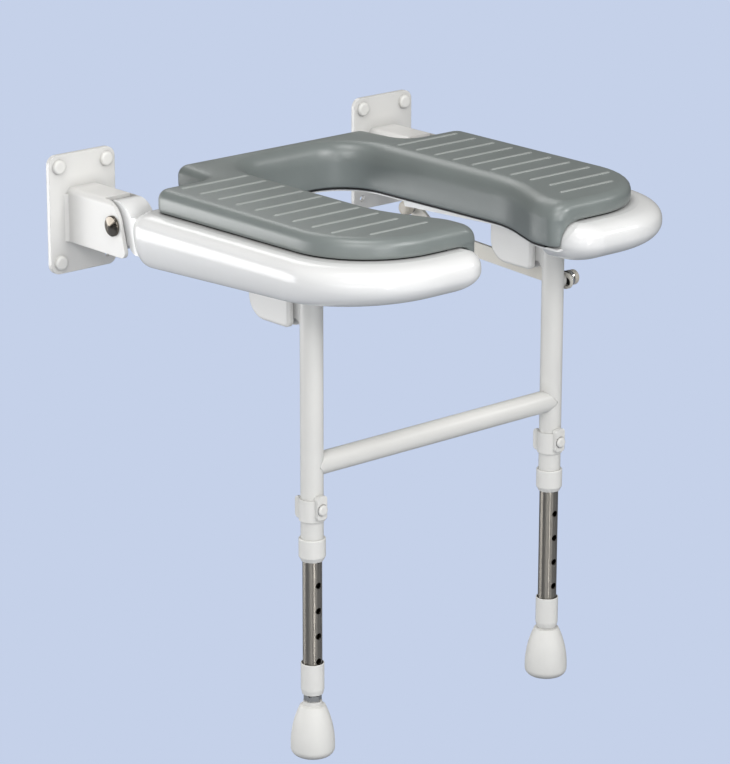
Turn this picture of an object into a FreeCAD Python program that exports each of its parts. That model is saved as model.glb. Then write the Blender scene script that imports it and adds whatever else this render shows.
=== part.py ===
import FreeCAD, Part
import math
import os

# Fold down wall seat: two wall brackets, a hinged horseshoe seat with a moulded pad,
# and a fold-away leg frame with telescopic legs, held in step by one stay link.
# Millimetres. X to the right when facing the wall, wall face at Y = 0 with the seat on the
# -Y side, Z up, origin midway between the two brackets at the centre of their holes.

V = FreeCAD.Vector

# Wall brackets
BRACKET_X = 197.5
PLATE_W = 80.0
PLATE_H = 120.0
PLATE_T = 5.0
PLATE_R = 10.0
HOLE_X = 29.0
HOLE_Z = 48.5
HOLE_D = 6.5
CHANNEL_W = 39.0
CHEEK_T = 4.0
CHANNEL_TOP = 26.3
CHANNEL_BOTTOM = -28.0
CHANNEL_FRONT = 99.6
CHEEK_LEAN = 14.5
CHEEK_TOP_R = 24.8
CHEEK_TOE_R = 6.3
TOP_EDGE = 62.0
BEND_R = 6.0
WELD = 3.0

# Hole covers
CAP_R = 7.25
CAP_H = 4.2
CAP_WALL = 1.0
CAP_EDGE_R = 2.6
WASHER_T = 1.2
WASHER_HOLE_D = 7.0

# Hinge
HINGE_Y = 79.0
HINGE_Z = 2.0
PIN_D = 10.0
PIN_FIT = 0.1
PIN_HEAD_R = 10.25
PIN_HEAD_H = 5.2
PIN_TAIL = 3.5
BUSH_R = 7.0
BUSH_FLANGE_R = 10.0
BUSH_FLANGE_T = 1.2
BUSH_RUN = 0.05
HINGE_PLAY = 0.3
CLIP_R = 8.0
CLIP_T = 1.2
KNUCKLE_R = 24.5
CHEEK_SWEEP_R = 28.2
CHEEK_ROOM = 0.8

# Seat base: margins outside the pad, heights at LEVEL_Y and their rise towards the front
SIDE_MARGIN = 23.5
FRONT_MARGIN = 27.5
WING_MARGIN = 19.5
REAR_MARGIN = 4.0
SEAM_MARGIN = 1.0
LEVEL_Y = 100.0
SEAM_Z = 20.3
SEAM_RISE = 0.0105
WIDEST_Z = 3.0
WIDEST_RISE = 0.008
BELLY_Z = -33.0
BELLY_RISE = 0.05
BELLY_DRAW = 16.0
NOSE_DRAW = 42.0
HEEL_DRAW = 5.0
WING_ROUND = 15.0
NOSE_R = 27.0
NOSE_TOE_R = 8.0
NOSE_TUCK = 30.0
CORNER_SPREAD = 11.0
FULLNESS = 0.8
ROLL_STEPS = 6
LEDGE_Z = -4.0
LIP_T = 2.0
LIP_BACK = 3.5
LIP_W = 16.0
HOLLOW_HALF_W = 140.0
HOLLOW_R = 40.0
TIP_END_R = 19.0
ARM_TOP_Z = 14.0
ARM_HEEL_Y = 97.0
ARM_HEEL_R = 12.0
ARM_TOE_Y = 140.0

# Seat pad
PAD_HALF_W = 199.0
PAD_REAR_Y = 55.5
PAD_WING_Y = 119.5
PAD_FRONT_Y = 421.5
PAD_TOP_Z = 44.0
NOTCH_X = 122.5
NOTCH_SLANT = 6.0
REAR_R = 12.0
NOTCH_R = 20.0
WING_R = 14.0
FRONT_R = 88.0
TIP_R = 15.0
EDGE_ROLL = 10.5
INNER_ROLL = 20.0
REAR_ROLL = 12.0
DRAW_IN = 1.0
CROWN = 0.8
RIB_PITCH = 27.5
RIB_FIRST_Y = 140.0
RIB_COUNT = 10
RIB_W = 1.6
RIB_H = 0.8
RIB_IN = 96.0
RIB_OUT = 181.0
LAST_RIB_IN = 84.0
LAST_RIB_OUT = 158.0

# Opening in the seat
OPEN_HALF_W = 77.0
OPEN_REAR_Y = 85.0
OPEN_R = 46.0
MOUTH_HALF_W = 49.0
THROAT_LEN = 99.5
MOUTH_LEN = 33.5
THROAT_R = 120.0
MOUTH_R = 60.0

# Board, skirt and seal between pad and base
BOARD_T = 1.6
BOARD_INSET = 3.0
BOARD_PLAY = 0.15
SKIRT_T = 8.0
SKIRT_GAP = 0.5
SEAL_T = 2.0
SEAL_INSET = 1.5

# Leg housings and pivots
LEG_X = 157.5
POD_W = 20.0
POD_REAR_Y = 224.0
POD_FRONT_Y = 284.0
POD_BOTTOM_Z = -66.0
POD_REAR_R = 22.0
POD_FRONT_R = 7.0
POD_EDGE_R = 3.5
POD_WALL = 2.6
SLOT_W = 7.0
SLOT_CLEAR = 1.6
PIVOT_Y = 266.0
PIVOT_Z = -46.0
PIVOT_D = 8.0
PIVOT_RUN = 0.06
LUG_T = 6.0
LUG_R = 10.5
LUG_TOP_Z = -37.0
LUG_HEEL_Z = -80.0
LUG_STEP = 22.5

# Fixing screws
SCREW_D = 4.8
SCREW_HEAD_R = 4.5
SCREW_HEAD_T = 3.0
SCREW_ROOM = 0.3
SCREW_SEAT_Z = 10.0
POD_SCREW_SPREAD = 9.6
POD_SCREW_Y = 239.0
POD_SCREW_HEAD_R = 3.9
POD_SCREW_SEAT = 16.0
POD_SCREW_BITE = 14.0

# Leg frame
LEG_Y = 306.0
TUBE_D = 22.2
TUBE_BORE = 19.5
TUBE_END_Z = -285.0
TUBE_TOP_Z = -28.5
TUBE_MITRE = 13.0
BAR_Z = -197.7
BAR_WALL = 1.6
COLLAR_D = 26.2
COLLAR_TOP_Z = -270.0
COLLAR_END_Z = -293.0
COLLAR_TAPER = 4.5
COLLAR_FIT = 0.1

# Height lock
LOCK_Z = -239.0
CLIP_TOP_Z = -230.0
CLIP_END_Z = -252.0
CLIP_D = 25.4
EAR_GAP = 8.8
EAR_W = 2.6
EAR_REACH = 17.0
BOSS_W = 12.0
BOSS_REACH = 15.2
BOSS_RISE = 5.0
BUTTON_R = 5.4
BUTTON_H = 2.6
LOCK_PIN_D = 6.2
LOCK_HOLE_D = 6.6
LOCK_THROW = 2.4
LOCK_CLEAR = 0.3

# Telescopic legs
INNER_D = 19.0
INNER_WALL = 1.5
INNER_TOP_Z = -163.0
INNER_END_Z = -425.0
STEP = 26.0
STEPS_ABOVE = 2
STEPS_BELOW = 6
STEP_HOLE_D = 6.6

# Levelling feet
STUD_D = 9.8
STUD_IN_LEG = 16.0
STUD_DEPTH = 17.0
INSERT_LEN = 20.0
INSERT_NOSE = 6.0
INSERT_END_D = 15.2
HEX_AF = 15.5
HEX_GAP = 0.4
HEX_H = 5.9
NECK_R = 9.2
NECK_LEN = 4.4
BELL_TOP_R = 12.5
BELL_MID_R = 18.4
BELL_R = 21.6
BELL_DROP = 38.3
SOLE_Z = -494.0
SOLE_R = 8.0
SOLE_RECESS_R = 8.5
SOLE_RECESS = 1.2
THREAD_CLEAR = 0.06

# Foot sleeves
SLEEVE_D = 22.8
SLEEVE_LEN = 32.0
SLEEVE_FIT = 0.15
SLEEVE_TAPER = 5.0
SLEEVE_END_D = 20.4
SLEEVE_LEFT_Z = -398.0
SLEEVE_RIGHT_Z = -408.5
RING_H = 2.0

# Stay link
LINK_X = 170.2
LINK_T = 3.6
LINK_W = 16.0
LINK_WALL_Y = 82.0
LINK_WALL_Z = -42.5
LINK_KNEE_Y = 117.0
LINK_KNEE_Z = -66.5
LINK_LEG_Z = -74.5
LINK_BOLT_D = 6.0
LINK_BOLT_OUT = 10.0
LINK_NUT_AF = 10.0
LINK_NUT_T = 4.0
LINK_RUN = 0.06
LINK_SIDE_PLAY = 0.2
SLOT_OUT = 7.2
SLOT_IN = 7.0
SLOT_SIDE = 1.3
TAB_R = 8.5
KNOB_R = 7.7
WALL_KNOB_LEN = 9.5
LEG_KNOB_LEN = 6.4
BOSS_R = 7.0
DARK_WASHER_R = 8.2
DARK_WASHER_T = 1.5
GREY_SPACER_R = 7.0
GREY_SPACER_T = 2.6
LINK_RING_R = 8.0
LINK_RING_T = 3.8

# Derived sizes
CHEEK_OUT = BRACKET_X + CHANNEL_W / 2
CHEEK_IN = BRACKET_X - CHANNEL_W / 2
BASE_HALF_W = PAD_HALF_W + SIDE_MARGIN
THROAT_REAR_Y = PAD_FRONT_Y - THROAT_LEN
THROAT_FRONT_Y = PAD_FRONT_Y - MOUTH_LEN
SKIRT_ROOM = SKIRT_T + SKIRT_GAP
INSERT_END_Z = INNER_END_Z - INSERT_NOSE
HEX_TOP_Z = INSERT_END_Z - HEX_GAP
HEX_END_Z = HEX_TOP_Z - HEX_H
STUD_TOP_Z = INNER_END_Z + STUD_IN_LEG
TUBE_R = TUBE_D / 2
INNER_R = INNER_D / 2
BOARD_TOP_Z = SEAM_Z + BOARD_T
LINK_OUT = LINK_X + LINK_T
STUD_END_Z = HEX_END_Z - STUD_DEPTH
PAD_BELOW_Z = LEDGE_Z + SEAL_T
TIP_BACK_Y = PAD_FRONT_Y - TIP_R - 3.0
TIP_EDGE = MOUTH_HALF_W + SKIRT_T
TIP_WIDE = TIP_EDGE + TIP_END_R + 10.0
LIP_Z = LEDGE_Z - LIP_T


# Shapes from outlines

def corner_arc(before, at, after, radius):
    """Start, middle and end of the arc that rounds one corner of an outline."""
    ax, ay = before[0] - at[0], before[1] - at[1]
    bx, by = after[0] - at[0], after[1] - at[1]
    la, lb = math.hypot(ax, ay), math.hypot(bx, by)
    ax, ay, bx, by = ax / la, ay / la, bx / lb, by / lb
    half = math.acos(max(-1.0, min(1.0, ax * bx + ay * by))) / 2
    reach = radius / math.tan(half)
    mx, my = ax + bx, ay + by
    lm = math.hypot(mx, my)
    inner = radius / math.sin(half) - radius
    start = (at[0] + ax * reach, at[1] + ay * reach)
    middle = (at[0] + mx / lm * inner, at[1] + my / lm * inner)
    end = (at[0] + bx * reach, at[1] + by * reach)
    return start, middle, end


def outline(points, place):
    """Closed wire through corners (a, b) or (a, b, radius), set in space by place."""
    marks = []
    for i, point in enumerate(points):
        radius = point[2] if len(point) > 2 else 0.0
        if radius > 0:
            marks.append(corner_arc(points[i - 1], point, points[(i + 1) % len(points)], radius))
        else:
            marks.append((point[:2],))
    edges = []
    for i, mark in enumerate(marks):
        if len(mark) == 3:
            edges.append(Part.Arc(place(*mark[0]), place(*mark[1]), place(*mark[2])).toShape())
        leave = place(*mark[-1])
        reach = place(*marks[(i + 1) % len(marks)][0])
        if leave.distanceToPoint(reach) > 1e-6:
            edges.append(Part.LineSegment(leave, reach).toShape())
    return Part.Wire(edges)


def slab_x(points, x0, x1):
    """Outline in (front distance, z) spread between two X planes."""
    face = Part.Face(outline(points, lambda u, z: V(x0, -u, z)))
    return face.extrude(V(x1 - x0, 0, 0))


def slab_y(points, u0, u1):
    """Outline in (x, z) spread between two front distances."""
    face = Part.Face(outline(points, lambda x, z: V(x, -u0, z)))
    return face.extrude(V(0, u0 - u1, 0))


def sheet(points, z, rise=0.0):
    """Closed wire in plan at height z, climbing by rise towards the front."""
    return outline(points, lambda x, u: V(x, -u, z + rise * (u - LEVEL_Y)))


def slab_z(points, z0, z1, rise=0.0):
    """Outline in (x, front distance) spread between two heights."""
    return Part.Face(sheet(points, z0, rise)).extrude(V(0, 0, z1 - z0))


def block(x0, x1, u0, u1, z0, z1):
    """Box between two X planes, two front distances and two heights."""
    return Part.makeBox(x1 - x0, u1 - u0, z1 - z0, V(x0, -u1, z0))


def rod(radius, start, end):
    """Cylinder from one point to another."""
    return Part.makeCylinder(radius, (end - start).Length, start, end - start)


def ring(outer, inner, start, end):
    """Tube from one point to another."""
    return rod(outer, start, end).cut(rod(inner, start, end))


def across(radius, x0, x1, u, z):
    """Cylinder along X."""
    return rod(radius, V(x0, -u, z), V(x1, -u, z))


def across_ring(outer, inner, x0, x1, u, z):
    """Tube along X."""
    return ring(outer, inner, V(x0, -u, z), V(x1, -u, z))


def upright(radius, x, u, z0, z1):
    """Cylinder along Z."""
    return rod(radius, V(x, -u, z0), V(x, -u, z1))


def hexagon_x(flats, x0, x1, u, z):
    """Hexagonal prism along X."""
    r = flats / 2 / math.cos(math.pi / 6)
    points = [(u + r * math.cos(i * math.pi / 3), z + r * math.sin(i * math.pi / 3)) for i in range(6)]
    return slab_x(points, x0, x1)


def turned(steps, centre, axis):
    """Solid of revolution from (radius, height) steps about an axis through centre."""
    side = V(0, 0, 1).cross(axis)
    if side.Length < 0.5:
        side = V(1, 0, 0)
    side.normalize()
    wire = outline(steps, lambda r, h: centre + side * r + axis * h)
    return Part.Face(wire).revolve(centre, axis, 360)


def bar(u0, z0, u1, z1, width, x0, x1):
    """Flat bar with round ends between two points in the side view."""
    length = math.hypot(u1 - u0, z1 - z0)
    du, dz = (u1 - u0) / length, (z1 - z0) / length
    h = width / 2
    a, b = u0 - du * h, z0 - dz * h
    c, d = u1 + du * h, z1 + dz * h
    points = [(a - dz * h, b + du * h, h * 0.999), (c - dz * h, d + du * h, h * 0.999)]
    points += [(c + dz * h, d - du * h, h * 0.999), (a + dz * h, b - du * h, h * 0.999)]
    return slab_x(points, x0, x1)


def joined(shapes):
    """All the shapes fused into one solid."""
    whole = shapes[0].fuse(shapes[1:]) if len(shapes) > 1 else shapes[0]
    whole = whole.removeSplitter()
    return whole.Solids[0] if len(whole.Solids) == 1 else whole


def mirrored(shape):
    """The same shape on the other side of X = 0."""
    return shape.mirror(V(0, 0, 0), V(1, 0, 0))


def both_sides(name, shape):
    """One node for each side."""
    save(name + "_right", shape)
    save(name + "_left", mirrored(shape))


def save(name, shape):
    """One STEP file for one node."""
    solids = shape.Solids
    whole = solids[0] if len(solids) == 1 else Part.makeCompound(solids)
    if not whole.isValid():
        print("not valid:", name)
    whole.exportStep(os.path.join("parts", name + ".step"))
    print(f"{name}: {len(solids)} solid, {whole.Volume / 1000:.2f} cm3")


# Seat outlines in plan, grown outwards by margin, drawn in by inset at the opening

def seat_outline(grow, open_inset, tip_r=TIP_R, rear_inset=None):
    """Horseshoe outline; grow moves the outer side out, the insets move the opening's walls back."""
    rear = PAD_REAR_Y - grow
    wing = PAD_WING_Y - grow
    front = PAD_FRONT_Y + grow
    side = PAD_HALF_W + grow
    mouth = MOUTH_HALF_W + open_inset
    rear_inset = open_inset if rear_inset is None else rear_inset
    half = [
        (NOTCH_X + grow, rear, max(REAR_R + grow, 2.0)),
        (NOTCH_X + NOTCH_SLANT + grow, wing, NOTCH_R - grow),
        (side, wing, WING_R + grow),
        (side, front, FRONT_R + grow),
        (mouth, front, tip_r),
        (mouth, THROAT_FRONT_Y, MOUTH_R - open_inset),
        (OPEN_HALF_W + open_inset, THROAT_REAR_Y, THROAT_R + open_inset),
        (OPEN_HALF_W + open_inset, OPEN_REAR_Y - rear_inset, OPEN_R + open_inset),
    ]
    return half + [(-x, u, r) for x, u, r in reversed(half)]


def opening_outline(inset, front):
    """The opening alone, wider by inset, reaching forward to front."""
    half = [
        (MOUTH_HALF_W + inset, front),
        (MOUTH_HALF_W + inset, THROAT_FRONT_Y, MOUTH_R - inset),
        (OPEN_HALF_W + inset, THROAT_REAR_Y, THROAT_R + inset),
        (OPEN_HALF_W + inset, OPEN_REAR_Y - inset, OPEN_R + inset),
    ]
    return half + [(-p[0],) + tuple(p[1:]) for p in reversed(half)]


def tip_room(gap):
    """Space beside each tip where the pad comes down in front; gap clears the base."""
    edge = TIP_EDGE + gap
    top = SEAM_Z + SEAM_RISE * (PAD_FRONT_Y - LEVEL_Y) + SKIRT_GAP - gap
    points = [(0, LEDGE_Z), (edge, LEDGE_Z), (edge, top, TIP_END_R), (TIP_WIDE, top), (TIP_WIDE, PAD_TOP_Z)]
    points += [(0, PAD_TOP_Z)]
    room = slab_y(points, TIP_BACK_Y, PAD_FRONT_Y + 3 * FRONT_MARGIN)
    return room.fuse(mirrored(room))


def seam(u):
    """Height of the base's upper edge at a front distance."""
    return SEAM_Z + SEAM_RISE * (u - LEVEL_Y)


def belly(u):
    """Height of the underside at a front distance."""
    return BELLY_Z + BELLY_RISE * (u - LEVEL_Y)


def pad_screw_places():
    """Six places for the screws that hold the pad."""
    side = (HOLLOW_HALF_W + PAD_HALF_W) / 2
    right = [(PAD_REAR_Y + 1.4 * NOTCH_R, OPEN_HALF_W * 1.38), (PAD_WING_Y + NOTCH_R * 2, side)]
    right += [(PAD_FRONT_Y - FRONT_R, side * 0.92)]
    return [(s * x, u) for u, x in right for s in (1, -1)]


# Wall bracket, right side

def wall_bracket(with_tab):
    lo, hi = -PLATE_H / 2, PLATE_H / 2
    a, b = BRACKET_X - PLATE_W / 2, BRACKET_X + PLATE_W / 2
    plate = slab_y([(a, lo, PLATE_R), (b, lo, PLATE_R), (b, hi, PLATE_R), (a, hi, PLATE_R)], 0, PLATE_T)
    for sx in (-1, 1):
        for sz in (-1, 1):
            x, z = BRACKET_X + sx * HOLE_X, sz * HOLE_Z
            plate = plate.cut(rod(HOLE_D / 2, V(x, 1, z), V(x, -PLATE_T - 1, z)))
    side = [
        (PLATE_T, CHANNEL_TOP),
        (CHANNEL_FRONT - CHEEK_LEAN, CHANNEL_TOP, CHEEK_TOP_R),
        (CHANNEL_FRONT, CHANNEL_BOTTOM, CHEEK_TOE_R),
        (PLATE_T, CHANNEL_BOTTOM),
    ]
    inner_r = BEND_R - CHEEK_T
    section = [(CHEEK_IN, CHANNEL_BOTTOM), (CHEEK_OUT, CHANNEL_BOTTOM)]
    section += [(CHEEK_OUT, CHANNEL_TOP, BEND_R), (CHEEK_IN, CHANNEL_TOP, BEND_R)]
    inside = [(CHEEK_IN + CHEEK_T, CHANNEL_BOTTOM - 1), (CHEEK_OUT - CHEEK_T, CHANNEL_BOTTOM - 1)]
    inside += [(CHEEK_OUT - CHEEK_T, CHANNEL_TOP - CHEEK_T, inner_r)]
    inside += [(CHEEK_IN + CHEEK_T, CHANNEL_TOP - CHEEK_T, inner_r)]
    channel = slab_x(side, CHEEK_IN, CHEEK_OUT).common(slab_y(section, PLATE_T, CHANNEL_FRONT + 1))
    channel = channel.cut(slab_y(inside, PLATE_T - 1, CHANNEL_FRONT + 2))
    mouth = block(CHEEK_IN + CHEEK_T, CHEEK_OUT - CHEEK_T, TOP_EDGE, CHANNEL_FRONT + 2, 0, CHANNEL_TOP + 1)
    channel = channel.cut(mouth)
    pieces = [plate, channel]
    for x, s in ((CHEEK_IN, -1), (CHEEK_OUT, 1)):
        bead = Part.makePolygon([V(x, -PLATE_T, CHANNEL_BOTTOM), V(x + s * WELD, -PLATE_T, CHANNEL_BOTTOM),
                                 V(x, -PLATE_T - WELD, CHANNEL_BOTTOM), V(x, -PLATE_T, CHANNEL_BOTTOM)])
        pieces.append(Part.Face(bead).extrude(V(0, 0, CHANNEL_TOP - BEND_R - CHANNEL_BOTTOM)))
    if with_tab:
        tab = bar(LINK_WALL_Y, LINK_WALL_Z, LINK_WALL_Y, CHANNEL_BOTTOM + TAB_R, 2 * TAB_R,
                  CHEEK_IN, CHEEK_IN + CHEEK_T)
        pieces.append(tab)
    bracket = joined(pieces)
    bracket = bracket.cut(across(PIN_D / 2 + PIN_FIT, CHEEK_IN - 1, CHEEK_OUT + 1, HINGE_Y, HINGE_Z))
    if with_tab:
        hole = across(LINK_BOLT_D / 2 + PIN_FIT, CHEEK_IN - 1, CHEEK_IN + CHEEK_T + 1, LINK_WALL_Y, LINK_WALL_Z)
        bracket = bracket.cut(hole)
    return bracket


def cover_places():
    """Plate holes that carry a cover: all but the lower one nearer the middle."""
    spots = [(-HOLE_X, HOLE_Z), (HOLE_X, HOLE_Z), (HOLE_X, -HOLE_Z)]
    return [(s * (BRACKET_X + x), z) for s in (1, -1) for x, z in spots]


def cover_cap(x, z):
    steps = [(0, 0), (0, CAP_H), (CAP_R, CAP_H, CAP_EDGE_R), (CAP_R, 0)]
    cap = turned(steps, V(x, -PLATE_T, z), V(0, -1, 0))
    return cap.cut(rod(CAP_R - CAP_WALL, V(x, -PLATE_T + 1, z), V(x, -PLATE_T - WASHER_T, z)))


def cap_washer(x, z):
    return ring(CAP_R - CAP_WALL, WASHER_HOLE_D / 2, V(x, -PLATE_T, z), V(x, -PLATE_T - WASHER_T, z))


# Hinge pieces, right side

def hinge_pin():
    head = turned([(0, 0), (PIN_HEAD_R, 0), (PIN_HEAD_R, PIN_HEAD_H * 0.45, 1.0), (0, PIN_HEAD_H)],
                  V(CHEEK_OUT, -HINGE_Y, HINGE_Z), V(1, 0, 0))
    tail = CHEEK_IN - PIN_TAIL
    shank = across(PIN_D / 2, tail, CHEEK_OUT, HINGE_Y, HINGE_Z)
    groove = across_ring(PIN_D, PIN_D / 2 - 0.8, CHEEK_IN - 0.4 - CLIP_T, CHEEK_IN - 0.3, HINGE_Y, HINGE_Z)
    return joined([head, shank.cut(groove)])


def hinge_clip():
    clip = across_ring(CLIP_R, PIN_D / 2 - 0.75, CHEEK_IN - 0.35 - CLIP_T, CHEEK_IN - 0.35, HINGE_Y, HINGE_Z)
    gap = block(CHEEK_IN - 3, CHEEK_IN, HINGE_Y - 2.4, HINGE_Y + 2.4, HINGE_Z - CLIP_R - 1, HINGE_Z)
    return clip.cut(gap)


def knuckle_ends():
    """Faces of the knuckle along X, inside the flanges of its bushes."""
    play = BUSH_FLANGE_T + HINGE_PLAY
    return CHEEK_IN + CHEEK_T + play, CHEEK_OUT - CHEEK_T - play


def hinge_bushes():
    x0, x1 = knuckle_ends()
    middle = (x0 + x1) / 2
    bore = PIN_D / 2 + BUSH_RUN
    halves = []
    for end, s in ((x0, 1), (x1, -1)):
        sleeve = across_ring(BUSH_R, bore, min(end, middle - s * 0.5), max(end, middle - s * 0.5),
                             HINGE_Y, HINGE_Z)
        flange = across_ring(BUSH_FLANGE_R, bore, min(end, end - s * BUSH_FLANGE_T),
                             max(end, end - s * BUSH_FLANGE_T), HINGE_Y, HINGE_Z)
        halves.append(joined([sleeve, flange]))
    return Part.makeCompound(halves)


# Seat base

def base_outline(out, back):
    """Plan of the base at one height: out is 1 at the widest line and 0 at the seam, back is 0 above
    the widest line and 1 at the underside."""
    side = PAD_HALF_W + SEAM_MARGIN + (SIDE_MARGIN - SEAM_MARGIN) * out - BELLY_DRAW * back
    front = PAD_FRONT_Y + SEAM_MARGIN + (FRONT_MARGIN - SEAM_MARGIN) * out - NOSE_DRAW * back
    wing = PAD_WING_Y - SEAM_MARGIN - (WING_MARGIN - SEAM_MARGIN) * out + HEEL_DRAW * back
    rear = PAD_REAR_Y - SEAM_MARGIN - (REAR_MARGIN - SEAM_MARGIN) * out + REAR_MARGIN * back
    notch = NOTCH_X + SEAM_MARGIN + (REAR_MARGIN - SEAM_MARGIN) * out
    corner = FRONT_R + SEAM_MARGIN + CORNER_SPREAD * out - BELLY_DRAW * back
    mouth = TIP_EDGE + SKIRT_GAP + TIP_END_R * (1 - out) + NOSE_TUCK * back
    tip = NOSE_R * out + 3.0 - (NOSE_R - NOSE_TOE_R + 3.0) * back
    wall = OPEN_HALF_W + SKIRT_ROOM
    half = [
        (notch, rear, REAR_R),
        (notch + NOTCH_SLANT, wing, NOTCH_R - WING_ROUND * 0.8 * out),
        (side, wing, WING_R + WING_ROUND * out),
        (side, front, corner),
        (mouth, front, tip),
        (mouth, THROAT_FRONT_Y, MOUTH_R - SKIRT_ROOM),
        (wall, THROAT_REAR_Y, THROAT_R + SKIRT_ROOM),
        (wall, OPEN_REAR_Y - SKIRT_ROOM, OPEN_R + SKIRT_ROOM),
    ]
    return half + [(-x, u, r) for x, u, r in reversed(half)]


def base_body():
    """Rounded shell of the base from its seam line to its underside."""
    wires = []
    for k in range(ROLL_STEPS):
        a = math.pi / 2 * (1 - k / ROLL_STEPS)
        up, out = math.sin(a) ** FULLNESS, math.cos(a) ** FULLNESS if k else 0.0
        z = WIDEST_Z + (SEAM_Z - WIDEST_Z) * up
        wires.append(sheet(base_outline(out, 0.0), z, WIDEST_RISE + (SEAM_RISE - WIDEST_RISE) * up))
    for k in range(ROLL_STEPS + 1):
        b = math.pi / 2 * k / ROLL_STEPS
        down = math.sin(b)
        z = WIDEST_Z + (BELLY_Z - WIDEST_Z) * down
        wires.append(sheet(base_outline(1.0, 1 - math.cos(b)), z, WIDEST_RISE + (BELLY_RISE - WIDEST_RISE) * down))
    body = Part.makeLoft(list(reversed(wires)), True, False)
    w, front = BASE_HALF_W * 2, PAD_FRONT_Y * 2
    low = SEAM_Z - BOARD_PLAY
    return body.cut(slab_z([(-w, 0), (w, 0), (w, front), (-w, front)], low, PAD_TOP_Z, SEAM_RISE))


def seat_arm():
    x0, x1 = knuckle_ends()
    knuckle = across(KNUCKLE_R, x0, x1, HINGE_Y, HINGE_Z)
    low = belly(ARM_TOE_Y) + BELLY_DRAW / 2
    points = [(HINGE_Y, ARM_TOP_Z), (ARM_TOE_Y, ARM_TOP_Z), (ARM_TOE_Y, low)]
    points += [(ARM_HEEL_Y, low, ARM_HEEL_R), (ARM_HEEL_Y, -10), (HINGE_Y, -10)]
    return knuckle.fuse(slab_x(points, x0, x1))


def seat_base():
    solid = base_body().cut(tip_room(SKIRT_GAP))
    w, start, end = HOLLOW_HALF_W, PAD_REAR_Y - 4 * REAR_MARGIN, TIP_BACK_Y - LIP_W
    hollow = [(-w, start), (w, start), (w, end, HOLLOW_R), (-w, end, HOLLOW_R)]
    solid = solid.cut(slab_z(hollow, BELLY_Z * 2, LIP_Z, SEAM_RISE))
    lip = slab_z(opening_outline(LIP_W, TIP_BACK_Y + TIP_R), LIP_Z, LEDGE_Z, SEAM_RISE)
    lip = lip.cut(slab_z(opening_outline(LIP_BACK, PAD_FRONT_Y), LIP_Z - 9, LEDGE_Z + 9, SEAM_RISE))
    for x in (CHEEK_IN, CHEEK_OUT - CHEEK_T):
        disc = across(CHEEK_SWEEP_R, x - CHEEK_ROOM, x + CHEEK_T + CHEEK_ROOM, HINGE_Y, HINGE_Z)
        solid = solid.cut(disc).cut(mirrored(disc))
    arm = seat_arm()
    solid = joined([solid, lip, arm, mirrored(arm)])
    bore = across(BUSH_R, 0, BASE_HALF_W + 20, HINGE_Y, HINGE_Z)
    solid = solid.cut(bore).cut(mirrored(bore))
    for x, u in pad_screw_places():
        solid = solid.cut(upright(SCREW_D / 2 + SCREW_ROOM, x, u, 0, PAD_TOP_Z))
        solid = solid.cut(upright(SCREW_HEAD_R + SCREW_ROOM, x, u, BELLY_Z - 5, SCREW_SEAT_Z))
    for x in (-LEG_X, LEG_X):
        for s in (-0.5, 0.5):
            hole = upright(SCREW_D / 2, x + s * POD_SCREW_SPREAD, POD_SCREW_Y,
                           BELLY_Z - 5, belly(POD_SCREW_Y) + POD_SCREW_BITE)
            solid = solid.cut(hole)
    return solid


# Pad and what lies under it

def rolled(low, high, radius, z):
    """How far an edge roll between two heights draws in at height z."""
    if z <= low:
        return 0.0
    rise = min((z - low) / (high - low), 1.0)
    return radius * (1 - math.sqrt(max(0.0, 1 - rise * rise)))


def seat_pad():
    outer_low, inner_low = PAD_TOP_Z - EDGE_ROLL, PAD_TOP_Z - INNER_ROLL
    levels = [BOARD_TOP_Z, BOARD_TOP_Z + 4, outer_low]
    levels += [outer_low + EDGE_ROLL * k for k in (0.38, 0.68, 0.9, 1.0)]
    wires = []
    for i, z in enumerate(levels):
        draw = DRAW_IN if i == 0 else 0.0
        out = rolled(outer_low, PAD_TOP_Z, EDGE_ROLL, z) + draw
        inn = rolled(inner_low, PAD_TOP_Z, INNER_ROLL, z)
        tip = max(TIP_R - out, 3.0)
        rear = inn * REAR_ROLL / INNER_ROLL
        rise = SEAM_RISE * (PAD_TOP_Z - z) / (PAD_TOP_Z - BOARD_TOP_Z)
        wires.append(sheet(seat_outline(-out, inn, tip, rear), z, rise))
    body = Part.makeLoft(wires, True, True)
    low = slab_z(seat_outline(-DRAW_IN, 0.0, TIP_R - DRAW_IN), PAD_BELOW_Z, BOARD_TOP_Z, SEAM_RISE)
    skirt = low.common(slab_z(opening_outline(SKIRT_T, TIP_BACK_Y), PAD_BELOW_Z, PAD_TOP_Z))
    tips = low.common(tip_room(0.0))
    ribs = []
    for k in range(RIB_COUNT):
        u = RIB_FIRST_Y + RIB_PITCH * k
        last = k == RIB_COUNT - 1
        x0, x1 = (LAST_RIB_IN, LAST_RIB_OUT) if last else (RIB_IN, RIB_OUT)
        h = RIB_W / 2
        points = [(x0, u - h, h * 0.9), (x1, u - h, h * 0.9), (x1, u + h, h * 0.9), (x0, u + h, h * 0.9)]
        rib = slab_z(points, PAD_TOP_Z - CROWN, PAD_TOP_Z + RIB_H)
        ribs += [rib, mirrored(rib)]
    return joined([body, skirt, tips] + ribs)


def pad_board():
    points = seat_outline(-BOARD_INSET, SKIRT_T + BOARD_INSET, TIP_R - BOARD_INSET)
    board = slab_z(points, SEAM_Z, BOARD_TOP_Z, SEAM_RISE)
    edge = TIP_WIDE + BOARD_INSET
    board = board.cut(block(-edge, edge, TIP_BACK_Y - SKIRT_GAP, PAD_FRONT_Y + 5, 0, PAD_TOP_Z))
    for x, u in pad_screw_places():
        board = board.cut(upright(SCREW_D / 2, x, u, 0, PAD_TOP_Z))
    return board


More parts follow.
